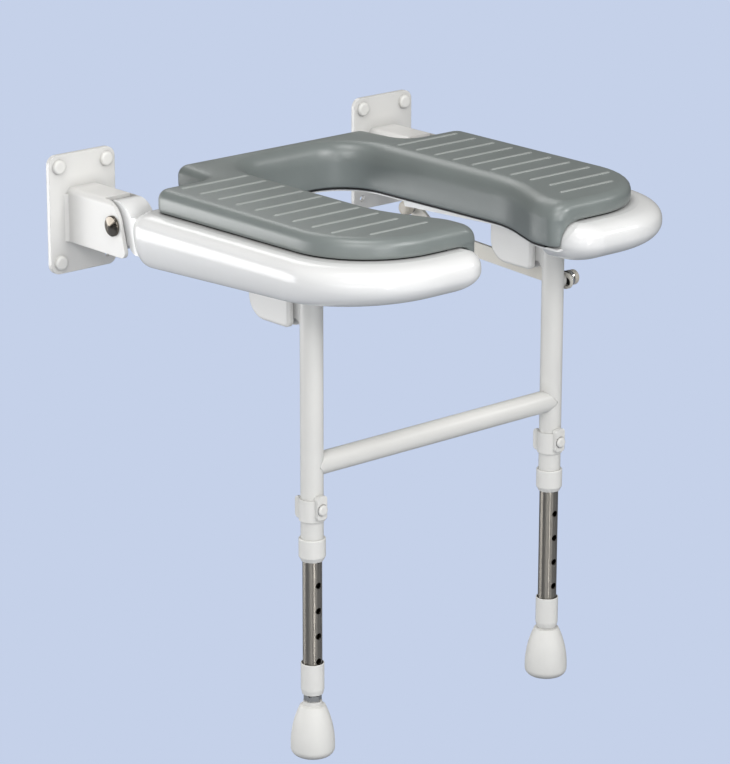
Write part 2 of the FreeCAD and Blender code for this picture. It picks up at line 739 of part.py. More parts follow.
def pad_seal():
    strip = slab_z(opening_outline(SKIRT_T - SEAL_INSET, TIP_BACK_Y), LEDGE_Z, PAD_BELOW_Z, SEAM_RISE)
    inner = slab_z(opening_outline(SEAL_INSET, PAD_FRONT_Y), LEDGE_Z - 9, PAD_BELOW_Z + 9, SEAM_RISE)
    return strip.cut(inner)


def pad_screws():
    screws = []
    for x, u in pad_screw_places():
        head = upright(SCREW_HEAD_R, x, u, SCREW_SEAT_Z - SCREW_HEAD_T, SCREW_SEAT_Z)
        drive = upright(SCREW_D / 3, x, u, SCREW_SEAT_Z - SCREW_HEAD_T, SCREW_SEAT_Z - SCREW_HEAD_T / 2)
        shank = upright(SCREW_D / 2, x, u, SCREW_SEAT_Z, seam(u - SCREW_D) + BOARD_T)
        screws.append(joined([head.cut(drive), shank]))
    return Part.makeCompound(screws)


# Leg housing, right side

def leg_housing(base):
    x0, x1 = LEG_X - POD_W / 2, LEG_X + POD_W / 2
    points = [(POD_REAR_Y, 0), (POD_REAR_Y, POD_BOTTOM_Z, POD_REAR_R)]
    points += [(POD_FRONT_Y, POD_BOTTOM_Z, POD_FRONT_R), (POD_FRONT_Y, 0)]
    pod = slab_x(points, x0, x1)
    pod = pod.makeFillet(POD_EDGE_R, [e for e in pod.Edges if e.BoundBox.XLength < 0.1 and e.BoundBox.ZMin < -0.1])
    pod = pod.cut(base)
    pod = [s for s in pod.Solids if s.BoundBox.ZMin < POD_BOTTOM_Z + 1][0]
    reach = LUG_R + SLOT_CLEAR
    slot = [(PIVOT_Y - reach, PIVOT_Z + reach, reach * 0.9), (POD_FRONT_Y + 5, PIVOT_Z + reach)]
    slot += [(POD_FRONT_Y + 5, POD_BOTTOM_Z - 5), (PIVOT_Y - reach, POD_BOTTOM_Z - 5)]
    pod = pod.cut(slab_x(slot, LEG_X - SLOT_W / 2, LEG_X + SLOT_W / 2))
    pod = pod.cut(across(PIVOT_D / 2, x0 + POD_WALL, x1 - POD_WALL, PIVOT_Y, PIVOT_Z))
    for s in (-0.5, 0.5):
        x = LEG_X + s * POD_SCREW_SPREAD
        pod = pod.cut(upright(SCREW_D / 2, x, POD_SCREW_Y, POD_BOTTOM_Z - 1, SEAM_Z))
        pod = pod.cut(upright(POD_SCREW_HEAD_R, x, POD_SCREW_Y, POD_BOTTOM_Z - 1, POD_BOTTOM_Z + POD_SCREW_SEAT))
    return pod


def housing_screws():
    screws = []
    seat = POD_BOTTOM_Z + POD_SCREW_SEAT
    for side in (-1, 1):
        for s in (-0.5, 0.5):
            x = side * LEG_X + s * POD_SCREW_SPREAD
            head = upright(POD_SCREW_HEAD_R - 0.2, x, POD_SCREW_Y, seat - SCREW_HEAD_T, seat)
            head = head.cut(upright(SCREW_D / 3, x, POD_SCREW_Y, seat - SCREW_HEAD_T, seat - SCREW_HEAD_T / 2))
            shank = upright(SCREW_D / 2, x, POD_SCREW_Y, seat, belly(POD_SCREW_Y) + POD_SCREW_BITE)
            screws.append(joined([head, shank]))
    return Part.makeCompound(screws)


def leg_pivot_pin():
    reach = POD_W / 2 - POD_WALL
    return across(PIVOT_D / 2, LEG_X - reach, LEG_X + reach, PIVOT_Y, PIVOT_Z)


# Leg frame

def leg_axis(z):
    return V(LEG_X, -LEG_Y, z)


def leg_tube():
    tube = ring(TUBE_R, TUBE_BORE / 2, leg_axis(TUBE_END_Z), leg_axis(TUBE_TOP_Z))
    half = TUBE_R + 2
    slope = TUBE_MITRE / TUBE_D
    top = [(LEG_Y - half, TUBE_TOP_Z - TUBE_MITRE - slope * 2), (LEG_Y + half, TUBE_TOP_Z + slope * 2)]
    top += [(LEG_Y + half, TUBE_TOP_Z + 20), (LEG_Y - half, TUBE_TOP_Z + 20)]
    tube = tube.cut(slab_x(top, LEG_X - half, LEG_X + half))
    return tube.cut(rod(LOCK_HOLE_D / 2, V(LEG_X, -LEG_Y, LOCK_Z), V(LEG_X, -LEG_Y - TUBE_R - 2, LOCK_Z)))


def leg_lug():
    x0, x1 = LEG_X - LUG_T / 2, LEG_X + LUG_T / 2
    eye = across(LUG_R, x0, x1, PIVOT_Y, PIVOT_Z)
    web = [(PIVOT_Y, PIVOT_Z + LUG_R), (LEG_Y, LUG_TOP_Z), (LEG_Y, LUG_HEEL_Z)]
    web += [(PIVOT_Y + LUG_STEP, PIVOT_Z - LUG_R, 5.0), (PIVOT_Y, PIVOT_Z - LUG_R)]
    lug = eye.fuse(slab_x(web, x0, x1))
    lug = lug.cut(rod(TUBE_R, leg_axis(TUBE_END_Z), leg_axis(0)))
    lug = lug.cut(across(PIVOT_D / 2 + PIVOT_RUN, x0 - 1, x1 + 1, PIVOT_Y, PIVOT_Z))
    return joined(lug.Solids)


def cross_bar():
    start, end = V(-LEG_X, -LEG_Y, BAR_Z), V(LEG_X, -LEG_Y, BAR_Z)
    tube = ring(TUBE_R, TUBE_R - BAR_WALL, start, end)
    leg = rod(TUBE_R, leg_axis(TUBE_END_Z), leg_axis(0))
    tube = tube.cut(leg).cut(mirrored(leg))
    return max(tube.Solids, key=lambda s: s.Volume)


def leg_collar():
    r = COLLAR_D / 2
    steps = [(0, COLLAR_TOP_Z), (r, COLLAR_TOP_Z, 1.2), (r, COLLAR_END_Z + COLLAR_TAPER)]
    steps += [(INNER_R + 1.2, COLLAR_END_Z), (0, COLLAR_END_Z)]
    collar = turned(steps, V(LEG_X, -LEG_Y, 0), V(0, 0, 1))
    collar = collar.cut(upright(TUBE_R, LEG_X, LEG_Y, TUBE_END_Z, 0))
    return collar.cut(upright(INNER_R + COLLAR_FIT, LEG_X, LEG_Y, COLLAR_END_Z - 1, 0))


def clip_band():
    band = ring(CLIP_D / 2, TUBE_R, leg_axis(CLIP_END_Z), leg_axis(CLIP_TOP_Z))
    gap = EAR_GAP / 2
    slit = block(LEG_X - gap, LEG_X + gap, LEG_Y - EAR_REACH, LEG_Y, CLIP_END_Z - 1, CLIP_TOP_Z + 1)
    pieces = [band.cut(slit)]
    for s in (-1, 1):
        x0, x1 = sorted((LEG_X + s * gap, LEG_X + s * (gap + EAR_W)))
        rear, start = LEG_Y - EAR_REACH, LEG_Y - TUBE_R + 1.5
        points = [(start, CLIP_END_Z), (rear, CLIP_END_Z, 4), (rear, CLIP_TOP_Z, 4), (start, CLIP_TOP_Z)]
        ear = slab_x(points, x0, x1)
        pieces.append(ear.cut(rod(TUBE_R, leg_axis(CLIP_END_Z - 1), leg_axis(CLIP_TOP_Z + 1))))
    w, front, back = BOSS_W / 2, LEG_Y + BOSS_REACH, LEG_Y + TUBE_R - 2
    top = CLIP_TOP_Z + BOSS_RISE
    points = [(LEG_X - w, CLIP_END_Z + 3, 3), (LEG_X + w, CLIP_END_Z + 3, 3)]
    points += [(LEG_X + w, top, 4), (LEG_X - w, top, 4)]
    boss = slab_y(points, back, front)
    pieces.append(boss.cut(rod(TUBE_R, leg_axis(CLIP_END_Z - 9), leg_axis(CLIP_TOP_Z + 9))))
    clip = joined(pieces)
    clip = clip.cut(rod(LOCK_HOLE_D / 2, V(LEG_X, -LEG_Y, LOCK_Z), V(LEG_X, -front - 1, LOCK_Z)))
    dish = rod(BUTTON_R + LOCK_CLEAR, V(LEG_X, -front + LOCK_THROW + 0.2, LOCK_Z), V(LEG_X, -front - 1, LOCK_Z))
    return clip.cut(dish)


def lock_pin():
    tip = INNER_R + LOCK_CLEAR
    seat = BOSS_REACH + LOCK_CLEAR / 2
    r, nose = LOCK_PIN_D / 2, 0.8
    steps = [(0, tip), (r, tip, nose), (r, seat), (BUTTON_R, seat), (BUTTON_R, seat + BUTTON_H, BUTTON_H * 0.8)]
    steps += [(0, seat + BUTTON_H)]
    return turned(steps, V(LEG_X, -LEG_Y, LOCK_Z), V(0, -1, 0))


def inner_leg():
    tube = ring(INNER_R, INNER_R - INNER_WALL, leg_axis(INNER_END_Z), leg_axis(INNER_TOP_Z))
    for k in range(-STEPS_ABOVE, STEPS_BELOW + 1):
        z = LOCK_Z - STEP * k
        tube = tube.cut(rod(STEP_HOLE_D / 2, V(LEG_X, -LEG_Y, z), V(LEG_X, -LEG_Y - INNER_R - 2, z)))
    return tube


def leg_insert():
    bore = STUD_D / 2 + THREAD_CLEAR
    spigot = INNER_R - INNER_WALL
    steps = [(bore, INNER_END_Z + INSERT_LEN), (spigot, INNER_END_Z + INSERT_LEN, 0.8), (spigot, INNER_END_Z)]
    steps += [(INNER_R, INNER_END_Z), (INNER_R, INNER_END_Z - 1), (INSERT_END_D / 2, INSERT_END_Z)]
    steps += [(bore, INSERT_END_Z)]
    return turned(steps, V(LEG_X, -LEG_Y, 0), V(0, 0, 1))


def foot_hex():
    r = HEX_AF / 2 / math.cos(math.pi / 6)
    corners = [(i + 0.5) * math.pi / 3 for i in range(6)]
    points = [(LEG_X + r * math.cos(a), LEG_Y + r * math.sin(a)) for a in corners]
    nut = slab_z(points, HEX_END_Z, HEX_TOP_Z)
    cone = [(0, HEX_END_Z - 1), (r - 0.4, HEX_END_Z - 1), (r + 0.3, HEX_END_Z + 1), (r + 0.3, HEX_TOP_Z - 1)]
    cone += [(r - 0.8, HEX_TOP_Z), (0, HEX_TOP_Z)]
    nut = nut.common(turned(cone, V(LEG_X, -LEG_Y, 0), V(0, 0, 1)))
    return nut.cut(upright(STUD_D / 2 + THREAD_CLEAR, LEG_X, LEG_Y, HEX_END_Z - 1, HEX_TOP_Z + 1))


def foot_stud():
    r = STUD_D / 2
    steps = [(0, STUD_TOP_Z), (r, STUD_TOP_Z, 1.0), (r, STUD_END_Z), (0, STUD_END_Z)]
    return turned(steps, V(LEG_X, -LEG_Y, 0), V(0, 0, 1))


def foot():
    top, neck_end = HEX_END_Z - 0.2, HEX_END_Z - NECK_LEN
    shoulder = neck_end - 0.8
    wide = shoulder - BELL_DROP
    middle = shoulder - BELL_DROP * 0.42
    centre = V(LEG_X, -LEG_Y, 0)

    def at(r, z):
        return V(LEG_X + r, -LEG_Y, z)

    r = STUD_D / 2
    sole = SOLE_R * math.sqrt(0.5)
    edges = [
        Part.LineSegment(at(r, top), at(NECK_R, top)).toShape(),
        Part.LineSegment(at(NECK_R, top), at(NECK_R, neck_end)).toShape(),
        Part.LineSegment(at(NECK_R, neck_end), at(BELL_TOP_R, shoulder)).toShape(),
        Part.Arc(at(BELL_TOP_R, shoulder), at(BELL_MID_R, middle), at(BELL_R, wide)).toShape(),
        Part.LineSegment(at(BELL_R, wide), at(BELL_R, SOLE_Z + SOLE_R)).toShape(),
        Part.Arc(at(BELL_R, SOLE_Z + SOLE_R), at(BELL_R - SOLE_R + sole, SOLE_Z + SOLE_R - sole),
                 at(BELL_R - SOLE_R, SOLE_Z)).toShape(),
        Part.LineSegment(at(BELL_R - SOLE_R, SOLE_Z), at(SOLE_RECESS_R, SOLE_Z)).toShape(),
        Part.LineSegment(at(SOLE_RECESS_R, SOLE_Z), at(SOLE_RECESS_R, SOLE_Z + SOLE_RECESS)).toShape(),
        Part.LineSegment(at(SOLE_RECESS_R, SOLE_Z + SOLE_RECESS), at(0, SOLE_Z + SOLE_RECESS)).toShape(),
        Part.LineSegment(at(0, SOLE_Z + SOLE_RECESS), at(0, STUD_END_Z)).toShape(),
        Part.LineSegment(at(0, STUD_END_Z), at(r, STUD_END_Z)).toShape(),
        Part.LineSegment(at(r, STUD_END_Z), at(r, top)).toShape(),
    ]
    return Part.Face(Part.Wire(edges)).revolve(centre, V(0, 0, 1), 360)


def foot_sleeve(top):
    end, bore = top - SLEEVE_LEN, INNER_R + SLEEVE_FIT
    steps = [(bore, top - RING_H), (bore + 1.0, top - RING_H), (bore + 1.0, top), (SLEEVE_D / 2, top, 0.4)]
    steps += [(SLEEVE_D / 2, end + SLEEVE_TAPER, 3.0), (SLEEVE_END_D / 2, end), (bore, end)]
    return turned(steps, V(LEG_X, -LEG_Y, 0), V(0, 0, 1))


def sleeve_ring(top):
    bore = INNER_R + SLEEVE_FIT
    return ring(bore + 1.0, bore - SLEEVE_FIT / 2, leg_axis(top - RING_H), leg_axis(top - 0.2))


# Stay link and what holds it, on the right side only

def stay_link():
    u1, z1, u2, z2 = LINK_WALL_Y, LINK_WALL_Z, LINK_KNEE_Y, LINK_KNEE_Z
    du, dz = LEG_Y - u1, LINK_LEG_Z - z1
    length = math.hypot(du, dz)
    du, dz = du / length, dz / length
    end_u, end_z = LEG_Y + du * (SLOT_OUT - 2.6), LINK_LEG_Z + dz * (SLOT_OUT - 2.6)
    first = bar(u1, z1, u2, z2, LINK_W, LINK_X, LINK_OUT)
    second = bar(u2, z2, end_u, end_z, LINK_W, LINK_X, LINK_OUT)
    link = joined([first, second])
    link = link.cut(across(LINK_BOLT_D / 2 + LINK_RUN, LINK_X - 1, LINK_OUT + 1, u1, z1))
    slot = bar(LEG_Y - du * SLOT_IN, LINK_LEG_Z - dz * SLOT_IN, LEG_Y + du * SLOT_OUT, LINK_LEG_Z + dz * SLOT_OUT,
               LINK_BOLT_D + 2 * SLOT_SIDE, LINK_X - 1, LINK_OUT + 1)
    return link.cut(slot)


def link_bolt_wall():
    head = hexagon_x(LINK_NUT_AF, CHEEK_IN + CHEEK_T, CHEEK_IN + CHEEK_T + LINK_NUT_T, LINK_WALL_Y, LINK_WALL_Z)
    shank = across(LINK_BOLT_D / 2, LINK_X - LINK_BOLT_OUT, CHEEK_IN + CHEEK_T, LINK_WALL_Y, LINK_WALL_Z)
    return joined([head, shank])


def link_spacer_wall():
    return across_ring(LINK_BOLT_D, LINK_BOLT_D / 2, LINK_OUT + LINK_SIDE_PLAY, CHEEK_IN, LINK_WALL_Y, LINK_WALL_Z)


def link_nut_wall():
    end = LINK_X - LINK_SIDE_PLAY
    nut = hexagon_x(LINK_NUT_AF, end - LINK_NUT_T, end, LINK_WALL_Y, LINK_WALL_Z)
    return nut.cut(across(LINK_BOLT_D / 2, end - LINK_NUT_T - 1, end + 1, LINK_WALL_Y, LINK_WALL_Z))


def knob(x, s, u, z, length, depth):
    """Round-nosed cap on a bolt end; s is the way its nose points along X."""
    steps = [(0, 0), (KNOB_R - 0.4, 0), (KNOB_R, 1.2), (KNOB_R, length, length / 3), (0, length)]
    cap = turned(steps, V(x, -u, z), V(s, 0, 0))
    x0, x1 = sorted((x - s, x + s * depth))
    return cap.cut(across(LINK_BOLT_D / 2, x0, x1, u, z))


def link_cap_wall():
    start = LINK_X - LINK_SIDE_PLAY - LINK_NUT_T
    return knob(start, -1, LINK_WALL_Y, LINK_WALL_Z, WALL_KNOB_LEN, start - LINK_X + LINK_BOLT_OUT)


def stack_faces():
    """Faces along X of the washer, spacer, ring and cap outside the link at the leg."""
    faces = [LINK_OUT + LINK_SIDE_PLAY]
    for thick in (DARK_WASHER_T, GREY_SPACER_T, LINK_RING_T):
        faces.append(faces[-1] + thick)
    return faces


def link_stud_leg():
    u, z = LEG_Y, LINK_LEG_Z
    boss = across(BOSS_R, LEG_X, LINK_X - LINK_SIDE_PLAY, u, z).cut(rod(TUBE_R, leg_axis(TUBE_END_Z), leg_axis(0)))
    end = stack_faces()[3] + LEG_KNOB_LEN * 0.6
    return joined([boss, across(LINK_BOLT_D / 2, LINK_X - 1, end, u, z)])


def link_washer_leg():
    x0, x1 = stack_faces()[:2]
    return across_ring(DARK_WASHER_R, LINK_BOLT_D / 2, x0, x1, LEG_Y, LINK_LEG_Z)


def link_spacer_leg():
    x0, x1 = stack_faces()[1:3]
    return across_ring(GREY_SPACER_R, LINK_BOLT_D / 2, x0, x1, LEG_Y, LINK_LEG_Z)


def link_ring_leg():
    r, t, bore = LINK_RING_R, LINK_RING_T, LINK_BOLT_D / 2
    steps = [(bore, 0), (r, 0, t / 4), (r, t, t / 4), (bore, t)]
    return turned(steps, V(stack_faces()[2], -LEG_Y, LINK_LEG_Z), V(1, 0, 0))


def link_cap_leg():
    return knob(stack_faces()[3], 1, LEG_Y, LINK_LEG_Z, LEG_KNOB_LEN, LEG_KNOB_LEN * 0.6)


def main():
    os.makedirs("parts", exist_ok=True)
    save("wall_bracket_right", wall_bracket(True))
    save("wall_bracket_left", mirrored(wall_bracket(False)))
    save("cap_washers", Part.makeCompound([cap_washer(x, z) for x, z in cover_places()]))
    save("cover_caps", Part.makeCompound([cover_cap(x, z) for x, z in cover_places()]))
    both_sides("hinge_pin", hinge_pin())
    both_sides("hinge_clip", hinge_clip())
    both_sides("hinge_bushes", hinge_bushes())

    base = seat_base()
    save("seat_base", base)
    save("pad_board", pad_board())
    save("pad_seal", pad_seal())
    save("seat_pad", seat_pad())
    save("pad_screws", pad_screws())
    both_sides("leg_housing", leg_housing(base))
    save("housing_screws", housing_screws())
    both_sides("leg_pivot_pin", leg_pivot_pin())

    both_sides("leg_tube", leg_tube())
    both_sides("leg_lug", leg_lug())
    save("cross_bar", cross_bar())
    both_sides("leg_collar", leg_collar())
    both_sides("clip_band", clip_band())
    both_sides("lock_pin", lock_pin())

    both_sides("inner_leg", inner_leg())
    both_sides("leg_insert", leg_insert())
    both_sides("foot_hex", foot_hex())
    both_sides("foot_stud", foot_stud())
    both_sides("foot", foot())
    save("foot_sleeve_left", mirrored(foot_sleeve(SLEEVE_LEFT_Z)))
    save("foot_sleeve_right", foot_sleeve(SLEEVE_RIGHT_Z))
    save("sleeve_ring_left", mirrored(sleeve_ring(SLEEVE_LEFT_Z)))
    save("sleeve_ring_right", sleeve_ring(SLEEVE_RIGHT_Z))

    save("stay_link", stay_link())
    save("link_bolt_wall", link_bolt_wall())
    save("link_spacer_wall", link_spacer_wall())
    save("link_nut_wall", link_nut_wall())
    save("link_cap_wall", link_cap_wall())
    save("link_stud_leg", link_stud_leg())
    save("link_washer_leg", link_washer_leg())
    save("link_spacer_leg", link_spacer_leg())
    save("link_ring_leg", link_ring_leg())
    save("link_cap_leg", link_cap_leg())


main()
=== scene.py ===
import math

import bmesh
import bpy
from mathutils import Matrix, Vector


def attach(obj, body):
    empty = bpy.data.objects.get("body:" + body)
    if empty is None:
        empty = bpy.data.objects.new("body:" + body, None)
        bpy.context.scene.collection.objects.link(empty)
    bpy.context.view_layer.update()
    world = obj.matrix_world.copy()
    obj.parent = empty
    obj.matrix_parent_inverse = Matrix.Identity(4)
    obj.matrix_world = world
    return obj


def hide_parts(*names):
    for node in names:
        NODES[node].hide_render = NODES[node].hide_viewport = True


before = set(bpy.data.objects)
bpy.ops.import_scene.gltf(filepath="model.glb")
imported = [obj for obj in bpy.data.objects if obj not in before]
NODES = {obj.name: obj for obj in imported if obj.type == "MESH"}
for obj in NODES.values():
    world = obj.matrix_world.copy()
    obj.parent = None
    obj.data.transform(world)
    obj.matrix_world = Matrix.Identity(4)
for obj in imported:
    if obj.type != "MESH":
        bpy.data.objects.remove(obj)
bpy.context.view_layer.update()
MM = 0.001


# Colours and materials

def linear(r, g, b):
    """Linear colour from 0 to 255 display values."""
    out = []
    for v in (r, g, b):
        v /= 255
        out.append(v / 12.92 if v <= 0.04045 else ((v + 0.055) / 1.055) ** 2.4)
    return tuple(out) + (1.0,)


def surface(name, colour, rough, tint=0.04, scale=40.0, bump=0.02, bump_scale=900.0, rough_shift=0.05,
            metal=0.0, coat=0.0, coat_rough=0.05, specular=0.5, painted_crevice_shade=0.0, stretch=(1, 1, 1), soften=0.0,
            drawn=0.0):
    """Material with slight changes of colour and roughness and a fine relief.

    The crevice argument paints shade into the crevices by multiplying ambient occlusion into the colour,
    soften rounds the shading of edges by that many millimetres, and drawn stretches the highlights round
    the vertical axis, as on a drawn tube.
    """
    m = bpy.data.materials.new(name)
    m.use_nodes = True
    nodes, links = m.node_tree.nodes, m.node_tree.links
    shader = nodes["Principled BSDF"]
    shader.inputs["Metallic"].default_value = metal
    shader.inputs["Coat Weight"].default_value = coat
    shader.inputs["Coat Roughness"].default_value = coat_rough
    shader.inputs["Specular IOR Level"].default_value = specular
    place = nodes.new("ShaderNodeTexCoord")
    fit = nodes.new("ShaderNodeMapping")
    fit.inputs["Scale"].default_value = stretch
    links.new(place.outputs["Object"], fit.inputs["Vector"])

    broad = nodes.new("ShaderNodeTexNoise")
    broad.inputs["Scale"].default_value = scale
    broad.inputs["Detail"].default_value = 5.0
    links.new(fit.outputs["Vector"], broad.inputs["Vector"])
    ramp = nodes.new("ShaderNodeValToRGB")
    darkest, lightest = ramp.color_ramp.elements
    darkest.position = 0.3
    lightest.position = 0.7
    darkest.color = tuple(c * (1 - tint) for c in colour[:3]) + (1.0,)
    lightest.color = tuple(min(1.0, c * (1 + tint)) for c in colour[:3]) + (1.0,)
    links.new(broad.outputs["Fac"], ramp.inputs["Fac"])
    tone = ramp.outputs["Color"]
    # Painted shade: ambient occlusion darkens the colour in crevices and where parts meet.
    if painted_crevice_shade > 0:
        shade = nodes.new("ShaderNodeAmbientOcclusion")
        shade.inputs["Distance"].default_value = 0.012
        shade.samples = 8
        mix = nodes.new("ShaderNodeMix")
        mix.data_type = "RGBA"
        mix.blend_type = "MULTIPLY"
        mix.inputs["Factor"].default_value = painted_crevice_shade
        links.new(tone, mix.inputs["A"])
        links.new(shade.outputs["Color"], mix.inputs["B"])
        tone = mix.outputs["Result"]
    links.new(tone, shader.inputs["Base Color"])

    spread = nodes.new("ShaderNodeMapRange")
    spread.inputs["To Min"].default_value = max(0.02, rough - rough_shift)
    spread.inputs["To Max"].default_value = rough + rough_shift
    links.new(broad.outputs["Fac"], spread.inputs["Value"])
    links.new(spread.outputs["Result"], shader.inputs["Roughness"])

    fine = nodes.new("ShaderNodeTexNoise")
    fine.inputs["Scale"].default_value = bump_scale
    fine.inputs["Detail"].default_value = 3.0
    links.new(fit.outputs["Vector"], fine.inputs["Vector"])
    relief = nodes.new("ShaderNodeBump")
    relief.inputs["Strength"].default_value = bump
    relief.inputs["Distance"].default_value = 0.001
    links.new(fine.outputs["Fac"], relief.inputs["Height"])
    if soften > 0:
        rounding = nodes.new("ShaderNodeBevel")
        rounding.samples = 6
        rounding.inputs["Radius"].default_value = soften * MM
        links.new(rounding.outputs["Normal"], relief.inputs["Normal"])
    if drawn > 0:
        shader.inputs["Anisotropic"].default_value = drawn
        shader.inputs["Anisotropic Rotation"].default_value = 0.25
        round_z = nodes.new("ShaderNodeTangent")
        round_z.direction_type = "RADIAL"
        round_z.axis = "Z"
        links.new(round_z.outputs["Tangent"], shader.inputs["Tangent"])
    links.new(relief.outputs["Normal"], shader.inputs["Normal"])
    return m


# The crevice darkening set on these materials is painted shade.
COAT = surface("bracket_coat", linear(228, 227, 224), 0.38, 0.012, 30, 0.05, 700, coat=0.2, coat_rough=0.2,
               painted_crevice_shade=0.5, soften=1.2)
TUBE = surface("tube_coat", linear(224, 223, 219), 0.36, 0.015, 30, 0.05, 700, coat=0.2, coat_rough=0.2,
               painted_crevice_shade=0.4, soften=0.6)
GLOSS = surface("base_gloss", linear(236, 236, 235), 0.24, 0.008, 14, 0.01, 160, 0.03, coat=0.3,
                coat_rough=0.08, painted_crevice_shade=0.25)
PAD = surface("pad_skin", linear(124, 131, 129), 0.34, 0.045, 24, 0.12, 2600, specular=0.9, painted_crevice_shade=0.25)
# Painted highlight: the bars are a lighter grey than the pad so that they read as lit lines.
BAR = surface("pad_bar", linear(158, 163, 160), 0.34, 0.05, 24, 0.1, 2600, specular=0.9)
# Painted shadow: the near-black board and seal stand in for the shade in the gap between pad and base.
GAP_SHADOW = surface("board_dark", linear(18, 18, 19), 0.6, 0.1, 60, 0.05)
POD = surface("housing_shell", linear(232, 231, 228), 0.34, 0.012, 30, 0.03, 500, coat=0.2, coat_rough=0.2,
              painted_crevice_shade=0.45)
PLASTIC = surface("white_plastic", linear(228, 227, 223), 0.42, 0.015, 50, 0.04, painted_crevice_shade=0.5, soften=0.8)
CAPS = surface("cap_plastic", linear(232, 231, 227), 0.34, 0.012, 60, 0.03, 700, painted_crevice_shade=0.5)
WASHER = surface("washer_white", linear(205, 204, 200), 0.5, 0.03, 90, 0.05, painted_crevice_shade=0.4)
RUBBER = surface("foot_rubber", linear(226, 225, 221), 0.55, 0.02, 40, 0.08, 1300, painted_crevice_shade=0.3)
# Painted shadow: the sleeve ring is near black and stands in for the shaded gap between the sleeve and the
# hex.
SLEEVE_GAP_SHADOW = surface("ring_rubber", linear(30, 29, 28), 0.5, 0.1, 90, 0.05)
PIN = surface("pin_steel", linear(112, 106, 98), 0.12, 0.05, 90, 0.03, 1200, metal=1.0)
STEEL = surface("bright_steel", linear(196, 195, 192), 0.28, 0.04, 90, 0.05, 1500, metal=1.0)
CLIP = surface("clip_steel", linear(150, 149, 146), 0.35, 0.05, 90, 0.05, 1500, metal=1.0)
CHROME = surface("ring_chrome", linear(214, 214, 214), 0.08, 0.02, 60, 0.01, 800, 0.02, metal=1.0)
STAINLESS = surface("stainless_tube", linear(170, 164, 154), 0.3, 0.06, 60, 0.05, 1400, 0.04, metal=1.0,
                    stretch=(1, 1, 0.05), drawn=0.95)
DARK = surface("washer_dark", linear(42, 41, 40), 0.5, 0.1, 80, 0.05)
GREY = surface("washer_grey", linear(150, 146, 138), 0.5, 0.05, 80, 0.05, painted_crevice_shade=0.3)
KNOB = surface("knob_plastic", linear(205, 198, 185), 0.36, 0.03, 70, 0.04, painted_crevice_shade=0.35)
BUSH = surface("bush_dark", linear(50, 50, 50), 0.5, 0.1, 80, 0.05)
LINK = surface("link_coat", linear(222, 218, 208), 0.38, 0.02, 30, 0.05, 700, painted_crevice_shade=0.4, soften=0.5)

FINISH = {
    "wall_bracket": COAT, "cap_washers": WASHER, "cover_caps": CAPS, "hinge_pin": PIN, "hinge_clip": CLIP,
    # pad_board and pad_seal are near black as the painted shadow of the gap under the pad.
    "hinge_bushes": BUSH, "seat_base": GLOSS, "pad_board": GAP_SHADOW, "pad_seal": GAP_SHADOW, "pad_screws": STEEL,
    "leg_housing": POD, "housing_screws": STEEL, "leg_pivot": STEEL, "leg_tube": TUBE, "leg_lug": TUBE,
    "cross_bar": TUBE, "leg_collar": PLASTIC, "clip_band": PLASTIC, "lock_pin": PLASTIC,
    "inner_leg": STAINLESS, "leg_insert": CLIP, "foot_hex": STEEL, "foot_stud": STEEL, "foot_sleeve": PLASTIC,
    "sleeve_ring": SLEEVE_GAP_SHADOW, "foot_left": RUBBER, "foot_right": RUBBER, "stay_link": LINK,
    "link_bolt_wall": STEEL, "link_nut_wall": STEEL, "link_spacer_wall": GREY, "link_cap_wall": KNOB,
    "link_stud_leg": TUBE, "link_washer_leg": DARK, "link_spacer_leg": GREY, "link_ring_leg": CHROME,
    "link_cap_leg": KNOB,
}


def paint(obj, material):
    """Give an object one material."""
    obj.data.materials.clear()
    obj.data.materials.append(material)


for name, obj in NODES.items():
    for start, material in FINISH.items():
        if name.startswith(start):
            paint(obj, material)
            break


# Sizes of the pad in millimetres: x to the right, u towards the front, z up

SIDE, REAR, WING, FRONT = 199.0, 55.5, 119.5, 421.5
REAR_R, REAR_R_MIN = 12.0, 2.0
NOTCH_X, NOTCH_LEAN, NOTCH_R = 122.5, 6.0, 20.0
WING_R, FRONT_R = 14.0, 88.0
TIP_R, TIP_R_MIN = 15.0, 3.0
MOUTH, MOUTH_DEPTH, MOUTH_R = 49.0, 33.5, 60.0
WALL, THROAT_DEPTH, THROAT_R = 77.0, 99.5, 120.0
OPEN_REAR, OPEN_REAR_R, OPEN_REAR_SHARE = 85.0, 46.0, 0.6
CORNER_STEPS = 12

PAD_TOP, PAD_LOW, SKIRT_LOW = 44.0, 21.9, -2.0
WALL_MID = 30.0
SEAM_HEIGHTS = (1.2, 4.0)
SEAM_DRAW = (1.0, 0.35)
RISE, LEVEL_U = 0.0105, 100.0
EDGE_ROLL, INNER_ROLL, HEM_ROLL = 10.5, 20.0, 2.0
ROLL_STEP = 9
CROWN, CROWN_INSET = 0.3, 3.0

SKIRT_T = 8.0
FOOT_X = MOUTH + SKIRT_T
FOOT_R, FOOT_BACK, FOOT_DEPTH, FOOT_DROP = 19.0, 404.0, 20.0, 0.6
TIP_HALF_W, TIP_BACK, TIP_SPLITS, TIP_LONG = 115, 330, 16, 20
WALL_PARTS = (0.35, 0.7)
HEM_ANGLES = (0, 30, 60, 90)
COLUMN = 1 + len(WALL_PARTS) + len(HEM_ANGLES)
SAME_HEIGHT = 0.01

BARS, BAR_FIRST, BAR_PITCH = 10, 140.0, 27.5
BAR_ENDS, LAST_BAR_ENDS = (96.0, 181.0), (84.0, 158.0)
BAR_HALF_W, BAR_HIGH, BAR_SUNK = 2.1, 1.5, 0.15
BAR_FADE, BAR_END_SHARE = 4.0, 0.4
BAR_STEPS, BAR_SIDES = 24, 8


# Outlines in plan

